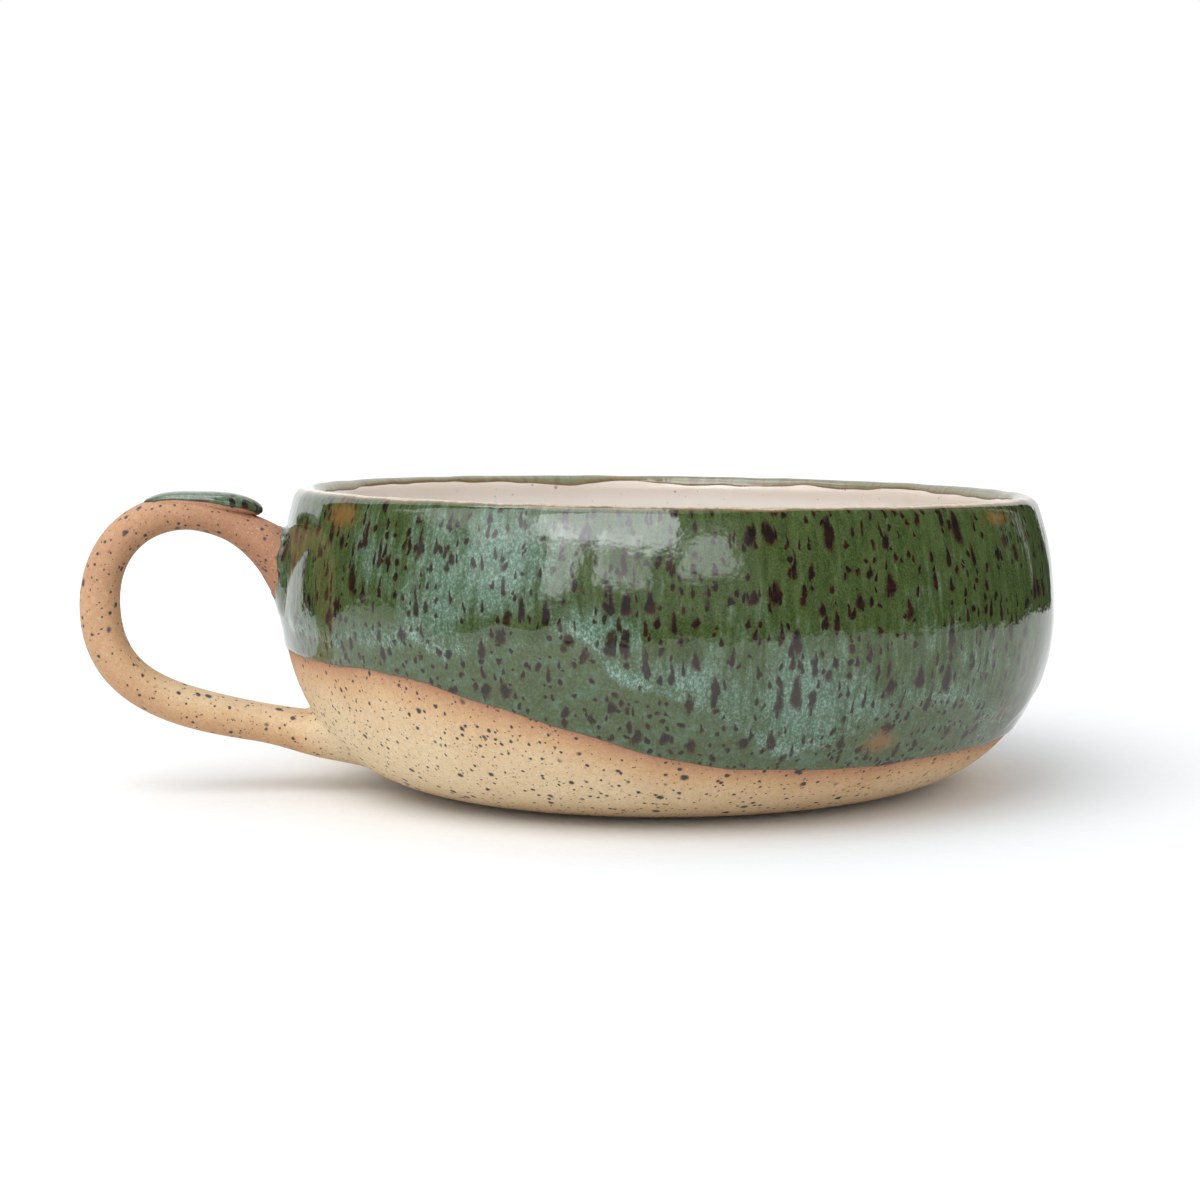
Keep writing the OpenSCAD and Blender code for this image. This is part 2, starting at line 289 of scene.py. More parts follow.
class WallLine:
    """The clay's surface in (radius, height), read by the length run along it from the base's edge.

    Below the belly it is a quarter of a superellipse: the radius grows by sin(a)^(2/flank) and the
    height by 1 - cos(a)^(2/heel). Above, a parabola leans in to the rim, which is half a circle.
    The inside is made the same way, from the rim down to the floor's middle.
    """

    def __init__(self, bowl, step=0.0001):
        fine = np.linspace(0, 1, 1500)
        belly = np.array([bowl.belly_radius, bowl.belly_height])
        inner_belly = belly - [bowl.wall, 0]
        half_rim = bowl.rim_wall / 2
        rim_middle = np.array([bowl.rim_radius - half_rim, bowl.height - half_rim])
        rim_lean = math.atan(2 * (belly[0] - bowl.rim_radius) / (rim_middle[1] - belly[1]))
        around = rim_lean + math.pi * fine
        roll = rim_middle + half_rim * np.stack([np.cos(around), np.sin(around)], 1)

        # More points where the line leaves the base
        turn = fine ** 1.4 * math.pi / 2
        wider = np.sin(turn) ** (2 / bowl.flank)
        higher = 1 - np.cos(turn).clip(0) ** (2 / bowl.heel)
        lower = np.stack([wider, higher], 1)
        upper = np.stack([fine * fine, fine], 1)
        foot = np.array([bowl.foot_radius, 0])
        floor = np.array([bowl.floor_radius, bowl.floor])
        outside = [foot + (belly - foot) * lower, belly + (roll[0] - belly) * upper]
        inside = [
            inner_belly + (roll[-1] - inner_belly) * upper[::-1],
            floor + (inner_belly - floor) * lower[::-1],
            np.array([[0, bowl.floor]]),
        ]
        line = np.concatenate(outside + [roll] + inside)
        runs = run_along(line)
        self.end = runs[-1]
        self.run = np.arange(0, self.end, step)
        self.radius = np.interp(self.run, runs, line[:, 0])
        self.height = np.interp(self.run, runs, line[:, 1])
        along = np.stack([np.gradient(self.radius), np.gradient(self.height)])
        self.out_radius, self.out_height = np.stack([along[1], -along[0]]) / np.hypot(*along)
        self.crest = self.run[np.argmax(self.height)]
        self.outside = self.run <= self.crest

    def at(self, run):
        """Radius, height and outward direction at a length along the line."""
        columns = (self.radius, self.height, self.out_radius, self.out_height)
        return [np.interp(run, self.run, column) for column in columns]

    def run_at(self, height):
        """Length along the outside at a height."""
        return np.interp(height, self.height[self.outside], self.run[self.outside])

    def raised(self, run, turn, by):
        """Points round the axis at an angle and a length along the line, raised off the clay."""
        radius, height, out_radius, out_height = self.at(run)
        radius = radius + by * out_radius
        return np.stack([radius * np.cos(turn), radius * np.sin(turn), height + by * out_height], -1)

    def distance(self, points):
        """Distance of points from the outside of the wall, and the wall's outward direction there."""
        run = self.run_at(points[..., 2])
        radius, _, out_radius, out_height = self.at(run)
        reach = np.hypot(points[..., 0], points[..., 1])
        level = points[..., :2] / reach[..., None]
        facing = np.concatenate([level * out_radius[..., None], out_height[..., None]], -1)
        return (reach - radius) * out_radius, facing


def waves(turn, height, *parts):
    """Sum of sine waves round the axis, each (size, waves per turn, radians per metre up, phase)."""
    return sum(
        size * np.sin(count * turn + climb * height + phase) for size, count, climb, phase in parts
    )


def hand_formed(points, bowl):
    """Moves points as the potter's hands did: the wall wavers in and out and the rim leans.

    The radius gains a few slow waves, fading out towards the axis, and the height grows towards the
    handle in proportion to itself, so that the base stays flat.
    """
    x, y, z = np.moveaxis(points, -1, 0)
    turn = np.arctan2(y, x)
    reach = np.hypot(x, y)
    waver = waves(turn, z, (1, 2, 30, 0.6), (0.7, 3, -60, 2.1), (0.45, 5, 110, 4.0))
    grow = 1 + bowl.wobble * waver * np.minimum(reach / bowl.belly_radius, 1) / bowl.belly_radius
    across = x * math.cos(bowl.lean_turn) - y * math.sin(bowl.lean_turn)
    return np.stack([x * grow, y * grow, z * (1 - bowl.lean * across)], -1)


def wrapped_faces(rows, columns, closed_rows=False):
    """Quads of a grid whose columns close on themselves, and its rows too where it is a ring."""
    first = np.arange(rows if closed_rows else rows - 1)[:, None] * columns
    second = (first + columns) % (rows * columns)
    here = np.arange(columns)
    following = (here + 1) % columns
    corners = [first + here, first + following, second + following, second + here]
    return np.stack(corners, -1).reshape(-1, 4)


def fan_faces(pole, ring, outward):
    """Triangles between a pole and a ring of points."""
    following = np.roll(ring, -1)
    middle = np.full(len(ring), pole)
    return np.stack([middle, ring, following] if outward else [middle, following, ring], -1)


class Patch:
    """A closed grid of points: poles close its ends, or its last row joins its first."""

    def __init__(self, points, fields=None, ring=False, first_pole=None, last_pole=None):
        rows, columns = points.shape[:2]
        self.points = points.reshape(-1, 3)
        self.faces = wrapped_faces(rows, columns, ring).tolist()
        self.fields = {
            name: values.reshape(rows * columns, -1) for name, values in (fields or {}).items()
        }
        for pole, row, outward in ((first_pole, 0, False), (last_pole, rows - 1, True)):
            if pole is not None:
                edge = np.arange(columns) + row * columns
                self.faces += fan_faces(len(self.points), edge, outward).tolist()
                self.points = np.concatenate([self.points, np.asarray(pole, float)[None]])
                for name, values in self.fields.items():
                    self.fields[name] = np.concatenate([values, values[edge].mean(0)[None]])


def make_piece(name, patches, bowl, nodes, finish):
    """Puts patches into one mesh, forms it by hand, and sets its body, its nodes and its finish."""
    mesh = bpy.data.meshes.new(name)
    starts = np.cumsum([0] + [len(patch.points) for patch in patches])
    points = hand_formed(np.concatenate([patch.points for patch in patches]), bowl)
    faces = [
        [corner + start for corner in face]
        for patch, start in zip(patches, starts)
        for face in patch.faces
    ]
    mesh.from_pydata(points, [], faces)
    mesh.polygons.foreach_set("use_smooth", np.ones(len(faces), bool))
    for field in patches[0].fields:
        values = np.concatenate([patch.fields[field] for patch in patches]).astype(np.float32)
        kind, key = ("FLOAT_VECTOR", "vector") if values.shape[1] == 3 else ("FLOAT", "value")
        mesh.attributes.new(field, kind, "POINT").data.foreach_set(key, values.ravel())
    mesh.update()
    mesh.materials.append(finish)
    piece = bpy.data.objects.new(name, mesh)
    bpy.context.scene.collection.objects.link(piece)
    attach(piece, "root")
    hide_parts(*nodes)


def bezier(points, share):
    """Points along a cubic Bezier curve."""
    share = share[:, None]
    weights = [(1 - share) ** 3, 3 * (1 - share) ** 2 * share, 3 * (1 - share) * share ** 2, share ** 3]
    return sum(weight * np.array(point) for weight, point in zip(weights, points))


class Loop:
    """The handle's centre line and its sections, in the plane of X and Z.

    Three cubic curves run from the upper root over the crown and round the back to the lower root, and
    a straight stub at each end runs on into the wall. An oval section is carried along them, which
    flares towards the roots by a smooth step of the distance from the root.
    """

    def __init__(self, handle, wall):
        stub = 0.026
        upper = np.array([-wall.at(wall.run_at(handle.upper_root))[0], handle.upper_root])
        lower = np.array([-wall.at(wall.run_at(handle.lower_root))[0], handle.lower_root])
        crown = np.array([-handle.crown_reach, handle.crown_height])
        back = np.array([-handle.reach + handle.arm_thick / 2, handle.back_height])
        up_way = np.array([-math.cos(handle.upper_slope), math.sin(handle.upper_slope)])
        low_way = np.array([-math.cos(handle.lower_slope), math.sin(handle.lower_slope)])
        round_pull = 0.58
        side = np.array([1.0, 0.0])
        rise = np.array([0.0, 1.0])
        curves = [
            [upper, upper + handle.upper_pull * up_way, crown + handle.crown_pull * side, crown],
            [
                crown,
                crown + round_pull * (back[0] - crown[0]) * side,
                back + round_pull * (crown[1] - back[1]) * rise,
                back,
            ],
            [back, back - handle.heel_pull * rise, lower + handle.arm_pull * low_way, lower],
        ]
        fine = np.linspace(0, 1, 600)
        ends = np.linspace(stub, 0, 130)[:, None]
        arcs = [bezier(points, fine)[1:] for points in curves]
        line = np.concatenate([upper - ends * up_way, *arcs, lower - ends[::-1][1:] * low_way])
        runs = run_along(line)
        self.run = np.linspace(0, runs[-1], 2200)
        self.line = np.stack([np.interp(self.run, runs, column) for column in line.T], 1)
        way = np.gradient(self.line, axis=0)
        way /= np.hypot(*way.T)[:, None]
        # Towards the inside of the loop
        self.inward = np.stack([-way[:, 1], way[:, 0]], 1)
        self.upper_end, self.lower_end = stub, runs[-1] - stub
        share = np.clip((self.run - self.upper_end) / (self.lower_end - self.upper_end), 0, 1)
        self.share = share
        near_root = np.minimum(
            np.hypot(*(self.line - upper).T), np.hypot(*(self.line - lower).T)
        )
        near_root = np.where((self.run < stub) | (self.run > self.lower_end), 0, near_root)
        flare = 1 - smooth(near_root, 0, handle.flare)
        thicker = handle.arm_thick - handle.crown_thick
        thick = handle.crown_thick + thicker * smooth(share, 0.18, 0.48)
        uneven = 1 + 0.02 * np.sin(95 * self.run) + 0.015 * np.sin(260 * self.run + 1)
        # The lower root flares on its underside alone
        swollen = (handle.root_thick - thick) / 2 * flare
        self.inner = (thick / 2 + swollen * (1 - smooth(share, 0.3, 0.7))) * uneven
        self.outer = (thick / 2 + swollen) * uneven
        self.width = (handle.width + (handle.root_width - handle.width) * flare) * (2 - uneven)

    def points(self, run, turn, grown=0.0):
        """Points of the loop's skin by length along it and angle round its section, 0 being inward."""
        x, z, in_x, in_z, inner, outer, width = (
            np.interp(run, self.run, column)
            for column in (*self.line.T, *self.inward.T, self.inner, self.outer, self.width)
        )
        fullness = 2 / 2.25
        across, sideways = (np.sign(v) * np.abs(v) ** fullness for v in (np.cos(turn), np.sin(turn)))
        depth = (np.where(across > 0, inner, outer) + grown) * across
        return np.stack([x + depth * in_x, (width / 2 + grown) * sideways, z + depth * in_z], -1)


def rooted_loop(loop, wall, handle, columns=72, rows=260):
    """The loop's skin between its two joints with the wall, as a grid of points.

    Each line along the skin starts and ends where it has sunk a little into the wall. Close to the wall
    the skin swells along it by a quarter-round fillet of radius f: at a distance d from the wall the
    swelling is f - sqrt(f^2 - (f - d)^2).
    """
    turn = full_turn(columns)
    run = loop.run[:, None]
    skin = loop.points(np.broadcast_to(run, (len(loop.run), columns)), turn[None])
    apart = wall.distance(skin)[0] + handle.sink
    middle = len(loop.run) // 2
    outside = apart > 0
    # The last sample inside the wall on each side of the loop's back
    first = middle - np.argmax(~outside[middle::-1], axis=0)
    last = middle + np.argmax(~outside[middle:], axis=0)
    at = np.arange(columns)

    def crossing(low, high):
        share = apart[low, at] / (apart[low, at] - apart[high, at])
        return loop.run[low] + share * (loop.run[high] - loop.run[low])

    start, end = crossing(first, first + 1), crossing(last, last - 1)
    share = np.linspace(0, 1, rows)[:, None]
    # More rows close to the joints
    share = share - 0.8 * np.sin(TURN * share) / TURN
    runs = start + (end - start) * share
    skin = loop.points(runs, np.broadcast_to(turn, runs.shape))
    inward, sideways = np.cos(turn), np.sin(turn)
    upper_fillet = handle.upper_fillet + handle.inner_fillet * inward
    level_fillet = np.where(inward > 0, handle.top_fillet, handle.under_fillet)
    lower_fillet = handle.side_fillet * sideways ** 2 + level_fillet * inward ** 2
    fillet = np.where(share < 0.5, upper_fillet, lower_fillet)
    apart, facing = wall.distance(skin)
    grown = loop.points(runs, np.broadcast_to(turn, runs.shape), 0.0002)
    outward = grown - skin
    outward /= np.linalg.norm(outward, axis=-1, keepdims=True) + 1e-12
    outward -= (outward * facing).sum(-1, keepdims=True) * facing
    square = np.linalg.norm(outward, axis=-1)
    outward /= square[..., None] + 1e-12
    left = np.clip(1 - apart / fillet, 0, 1)
    swelling = fillet * (1 - np.sqrt(1 - left ** 2)) * smooth(square, 0.25, 0.95)
    moved = skin + swelling[..., None] * outward
    # Keep each point's distance from the curved wall
    again, facing = wall.distance(moved)
    moved += ((apart - again) * (left > 0))[..., None] * facing
    return moved, runs, turn


def surface_normals(points):
    """Unit normals of a grid whose columns close on themselves, by the cross product of its two ways."""
    along = np.gradient(points, axis=0)
    around = np.roll(points, -1, axis=1) - np.roll(points, 1, axis=1)
    normal = np.cross(around, along)
    return normal / (np.linalg.norm(normal, axis=-1, keepdims=True) + 1e-15)


def laid_out(across, up):
    """Place in the glaze's pattern of a spot given by metres round the wall and up it, on a cylinder."""
    turn = across * PER_MM / FLOW_RADIUS
    return np.stack(
        [FLOW_RADIUS * np.cos(turn), FLOW_RADIUS * np.sin(turn), up * PER_MM + 0 * turn], -1
    )


def rounded(distance, over):
    """Thickness of a coat as a share, rising from 0 at its edge like a quarter of a circle."""
    left = 1 - np.clip(distance / over, 0, 1)
    return np.sqrt(1 - left ** 2)


def smooth(value, low, high):
    """Smooth step from 0 at low to 1 at high."""
    share = np.clip((value - low) / (high - low), 0, 1)
    return share * share * (3 - 2 * share)


def dip_edge(wall, glaze, turn):
    """Length along the wall at the dip line, for each angle round the axis.

    Seen from the side the line is half a cosine wave from the high level to the low one, and a few
    small waves run along it.
    """
    run = wall.run[wall.outside][None, :]
    across = wall.radius[wall.outside] * np.cos(turn)[:, None]
    share = np.clip((across - glaze.dip_middle) / glaze.dip_slope + 0.5, 0, 1)
    level = glaze.dip_low + (glaze.dip_high - glaze.dip_low) * (1 + np.cos(math.pi * share)) / 2
    ripple = waves(turn, 0, (0.00022, 7, 0, 0.4), (0.00014, 13, 0, 2.0), (0.0001, 29, 0, 1.0))
    above = wall.height[wall.outside] > level + ripple[:, None]
    return run[0, np.argmax(above, axis=1)]


def closed_curve(turn, place, values):
    """Smooth curve round the axis through values that are given at places in degrees."""
    knots = np.concatenate([place - 360, place, place + 360])
    fine = np.linspace(-540, 540, 4321)
    spread = np.exp(-(np.linspace(-3, 3, 25) ** 2))
    level = np.interp(fine, knots, np.tile(values, 3))
    level = np.convolve(level, spread / spread.sum(), "same")
    return np.interp(np.degrees(turn), fine, level)


def run_ends(turn):
    """Distance from the dip line up to the ends of the running coat, and how pale it is there.

    Smooth curves go through the lobes of RUN_LOBES, and small waves ride on the first.
    """
    place, reach, pale = np.array(RUN_LOBES).T
    ripple = waves(turn, 0, (0.0005, 31, 0, 0.4), (0.0003, 53, 0, 2.0))
    return closed_curve(turn, place, reach) / PER_MM + ripple, closed_curve(turn, place, pale)


def blobs(turn, height, table):
    """Sum of soft spots: each falls off as a bell across the wall and up it.

    A spot is given by its angle round the axis in degrees, its height, its half width and half height in
    millimetres, and its weight.
    """
    total = 0.0
    for place, level, wide, tall, weight in table:
        apart = (np.degrees(turn) - place + 180) % 360 - 180
        across = np.radians(apart) * FLOW_RADIUS / wide
        up = (height * PER_MM - level) / tall
        total = total + weight * np.exp(-(across ** 2 + up ** 2))
    return total


def small_coat(flow, edge, above, cloud):
    """What a small patch of green glaze carries: even all over, far from the rim and the run ends."""
    even = 0 * edge
    far_from_crest = 9.0
    return {
        "flow": flow,
        "edge": edge,
        "above": even + above,
        "pile": even,
        "crest": even + far_from_crest,
        "cloud": even + cloud,
        "thin": even,
    }


# Materials

def arithmetic(operation, turned=False):
    """A method that adds a Math node, with its two inputs turned round if asked."""

    def method(self, other):
        first, second = (other, self) if turned else (self, other)
        return self.finish.node("ShaderNodeMath", {"operation": operation}, {0: first, 1: second})

    return method


class Value:
    """A shader socket. Arithmetic on it adds Math nodes, and step() a smooth step.

    over() is 1 where this is greater, most() is the greater of the two, and turn_from() is the angle
    of the point whose height is this and whose distance across is the other.
    """

    __add__ = __radd__ = arithmetic("ADD")
    __sub__ = arithmetic("SUBTRACT")
    __rsub__ = arithmetic("SUBTRACT", turned=True)
    __mul__ = __rmul__ = arithmetic("MULTIPLY")
    __truediv__ = arithmetic("DIVIDE")
    __pow__ = arithmetic("POWER")
    over = arithmetic("GREATER_THAN")
    most = arithmetic("MAXIMUM")
    turn_from = arithmetic("ARCTAN2")

    def __init__(self, finish, socket):
        self.finish = finish
        self.socket = socket

    def step(self, low, high):
        """Smooth step from 0 at low to 1 at high."""
        sockets = {"Value": self, "From Min": low, "From Max": high}
        return self.finish.node("ShaderNodeMapRange", {"interpolation_type": "SMOOTHSTEP"}, sockets)


class Finish:
    """A material whose nodes are added one by one."""

    def __init__(self, name):
        self.material = bpy.data.materials.new(name)
        self.material.use_nodes = True
        self.tree = self.material.node_tree
        self.tree.nodes.clear()

    def node(self, kind, settings=None, sockets=None, out=0):
        """Adds a node, sets it, fills its sockets with values or links, and gives one of its outputs."""
        node = self.tree.nodes.new(kind)
        for key, value in (settings or {}).items():
            if key == "stops":
                ramp = node.color_ramp.elements
                while len(ramp) < len(value):
                    ramp.new(0.5)
                for element, (place, shade) in zip(ramp, value):
                    element.position = place
                    element.color = (*shade, 1)
            else:
                setattr(node, key, value)
        for key, value in (sockets or {}).items():
            socket = node.inputs[key]
            if isinstance(value, Value):
                self.tree.links.new(value.socket, socket)
            elif socket.type == "RGBA":
                socket.default_value = (*value, 1)
            else:
                socket.default_value = value
        outputs = [node.outputs[name] for name in (out if isinstance(out, tuple) else (out,))]
        values = tuple(Value(self, socket) for socket in outputs)
        return values if isinstance(out, tuple) else values[0]

    def mix(self, share, first, second):
        """Colour between two colours."""
        settings = {"data_type": "RGBA", "clamp_factor": True}
        return self.node("ShaderNodeMix", settings, {0: share, 6: first, 7: second}, 2)

    def stretched(self, vector, scale):
        """A vector multiplied axis by axis."""
        return self.node("ShaderNodeVectorMath", {"operation": "MULTIPLY"}, {0: vector, 1: scale})

    def moved(self, vector, by):
        """A vector plus another."""
        return self.node("ShaderNodeVectorMath", {"operation": "ADD"}, {0: vector, 1: by})

    def noise(self, vector, scale, detail=2.0, rough=0.5, distort=0.0):
        """Cloudy noise from 0 to 1."""
        sockets = {"Vector": vector, "Scale": scale, "Detail": detail}
        sockets.update({"Roughness": rough, "Distortion": distort})
        return self.node("ShaderNodeTexNoise", None, sockets, "Fac")

    def noise_vector(self, vector, scale):
        """Three cloudy noises from 0 to 1, as the parts of a vector."""
        sockets = {"Vector": vector, "Scale": scale, "Detail": 2.0}
        return self.node("ShaderNodeTexNoise", None, sockets, "Color")

    def cells(self, vector, scale, jitter=1.0, kind="3D"):
        """Scattered points: distance to the nearest one, its own random colour and its place."""
        sockets = {"Vector": vector, "Scale": scale, "Randomness": jitter}
        settings = {"voronoi_dimensions": kind}
        return self.node("ShaderNodeTexVoronoi", settings, sockets, ("Distance", "Color", "Position"))

    def parts(self, vector):
        """The three parts of a vector or colour."""
        return self.node("ShaderNodeSeparateXYZ", None, {0: vector}, (0, 1, 2))

    def field(self, name, out="Fac"):
        """A value that the mesh carries."""
        return self.node("ShaderNodeAttribute", {"attribute_name": name}, None, out)

    def place(self):
        """Object coordinates in millimetres."""
        here = self.node("ShaderNodeTexCoord", None, None, "Object")
        return self.stretched(here, (PER_MM,) * 3)

    def bump(self, height, distance):
        """Normal bent by a height."""
        sockets = {"Height": height, "Distance": distance, "Strength": 1.0}
        return self.node("ShaderNodeBump", None, sockets, "Normal")

    def close(self, base, rough, normal, **fixed):
        """Ends the material in a Principled shader."""
        sockets = {"Base Color": base, "Roughness": rough, "Normal": normal}
        sockets.update({name.replace("_", " "): value for name, value in fixed.items()})
        shader = self.node("ShaderNodeBsdfPrincipled", None, sockets, "BSDF")
        self.node("ShaderNodeOutputMaterial", None, {"Surface": shader}, ())
        return self.material

    def shine(self, colour, strength):
        """Ends the material in plain light."""
        sockets = {"Color": colour, "Strength": strength}
        light = self.node("ShaderNodeEmission", None, sockets, "Emission")
        self.node("ShaderNodeOutputMaterial", None, {"Surface": light}, ())
        return self.material


def specks(finish, place, scale, share, small, large, patchy):
    """Scattered grains: a share of the cells, each with its own size, denser where the patches are."""
    distance, random, _ = finish.cells(place, scale)
    first, second, _ = finish.parts(random)
    present = (first + patchy * 0.5 - 0.25).over(1 - share)
    size = small + (large - small) * second * second
    return present * (1 - (distance / size).step(0.55, 1.15))


def clay_finish(name, colours):
    """Speckled stoneware: buff to terracotta by its flush and painted shade, with iron grains and a fine
    tooth.
    """
    finish = Finish(name)
    place = finish.place()
    flush = finish.field("flush")
    cloud = finish.noise(place, 0.09, 3)
    fine = finish.noise(place, 1.1, 4, 0.6)
    sand = finish.noise(place, 2.6, 2, 0.7)
    # The flush field holds painted shade too: a darker foot and a shaded underside on the handle's arm
    toast_and_shade = flush + (cloud - 0.5) * 0.34 + (fine - 0.5) * 0.42 + (sand - 0.5) * 0.34
    stops = [(0.0, colours.buff), (0.42, colours.golden), (0.95, colours.terracotta)]
    base = finish.node("ShaderNodeValToRGB", {"stops": stops}, {"Fac": toast_and_shade}, "Color")
    warp = finish.noise_vector(place, 1.6)
    bent = finish.moved(place, finish.stretched(warp, (0.5, 0.5, 0.5)))
    patchy = finish.noise(finish.moved(place, (31.0, 7.0, 3.0)), 0.16, 1)
    grains = specks(finish, bent, 0.42, 0.46, 0.13, 0.34, patchy)
    grains = grains.most(specks(finish, bent, 0.78, 0.80, 0.14, 0.36, patchy))
    grains = grains.most(specks(finish, bent, 1.5, 0.55, 0.12, 0.29, patchy) * 0.85)
    pale = specks(finish, finish.moved(place, (5.0, 50.0, 9.0)), 1.2, 0.16, 0.08, 0.18, patchy)
    base = finish.mix((1 - sand).step(0.44, 0.66) * 0.30, base, colours.terracotta)
    base = finish.mix(sand.step(0.54, 0.74) * 0.30, base, colours.buff)
    base = finish.mix(pale * 0.5, base, (0.80, 0.72, 0.62))
    base = finish.mix(grains * 0.95, base, colours.iron)
    rough = 0.78 - grains * 0.2
    tooth = finish.noise(place, 3.2, 3, 0.7)
    normal = finish.bump(tooth * 0.8 + fine * 0.9 - grains * 0.8, 0.0001)
    return finish.close(base, rough, normal, IOR=1.45)


def drips(finish, flow, across, along, share, wide, tall, reach, patchy, ragged):
    """Iron drips: round below and drawn out upwards, in a share of scattered cells.

    The place of a cell's own point gives how far a spot lies to the side of it, along the wall, and
    above it. The two are set against the drip's half width and half height, which is greater above.
    """
    cell = finish.stretched(flow, (1 / across, 1 / along, 0.0))
    jitter = 0.9
    _, random, middle = finish.cells(cell, 1.0, jitter, "2D")
    border = {"voronoi_dimensions": "2D", "feature": "DISTANCE_TO_EDGE"}
    sockets = {"Vector": cell, "Scale": 1.0, "Randomness": jitter}
    inside = finish.node("ShaderNodeTexVoronoi", border, sockets)
    apart = finish.node("ShaderNodeVectorMath", {"operation": "SUBTRACT"}, {0: cell, 1: middle})
    side, up, _ = finish.parts(finish.stretched(apart, (across, along, 0.0)))
    first, second, third = finish.parts(random)
    size = wide * (0.5 + 0.75 * second)
    above = up.over(0)
    tail = tall * (0.35 + third) * reach
    blunt = size * (1.2 + 0.9 * third * reach)
    high = up / (above * tail + (1 - above) * blunt)
    taper = side / size * (1 + above * high * 0.9)
    shape = (taper * taper + high * high) ** 0.5 + ragged
    present = (first + patchy * 0.7 - 0.35).over(1 - share)
    return present * (1 - shape.step(0.0, 1.2)) * inside.step(0.0, 0.14)


